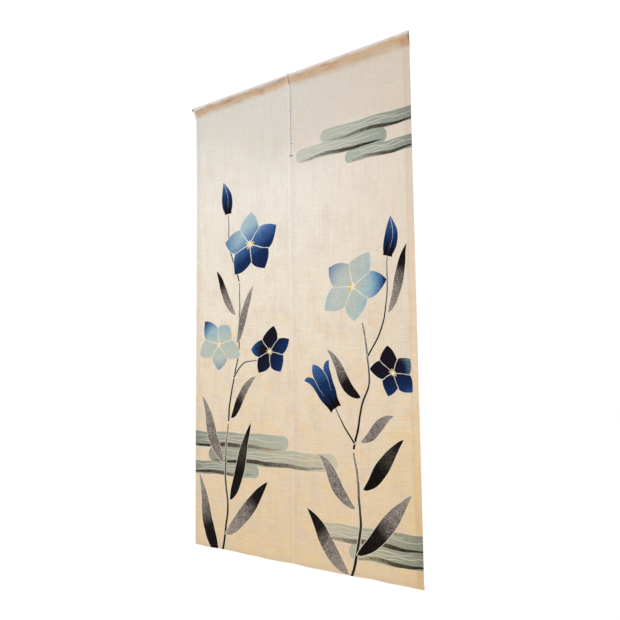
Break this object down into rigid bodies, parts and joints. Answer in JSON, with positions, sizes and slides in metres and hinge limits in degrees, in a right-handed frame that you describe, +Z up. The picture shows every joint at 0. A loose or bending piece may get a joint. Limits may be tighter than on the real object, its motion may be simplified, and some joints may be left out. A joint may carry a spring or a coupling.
{
  "type": "noren curtain on rod",
  "caption": "Split doorway curtain of unlined linen-like cloth: flat hanging panels sewn together along the upper middle, hemmed, with a rod pocket heading on a round rod.",
  "frame": {"origin": "on the rod's axis, at the middle of the curtain's width", "axes": "+Z up, +X along the rod to the right seen from the front, -Y towards the front of the curtain"},
  "size_m": [0.8874, 0.0185, 1.5],
  "materials": {
    "cloth": "plain-woven undyed linen with a dyed design",
    "rod": "dark stained, satin"
  },
  "bodies": {
    "root": {"rod": "rod", "panel_left": "cloth", "panel_right": "cloth"}
  },
  "joints": []
}
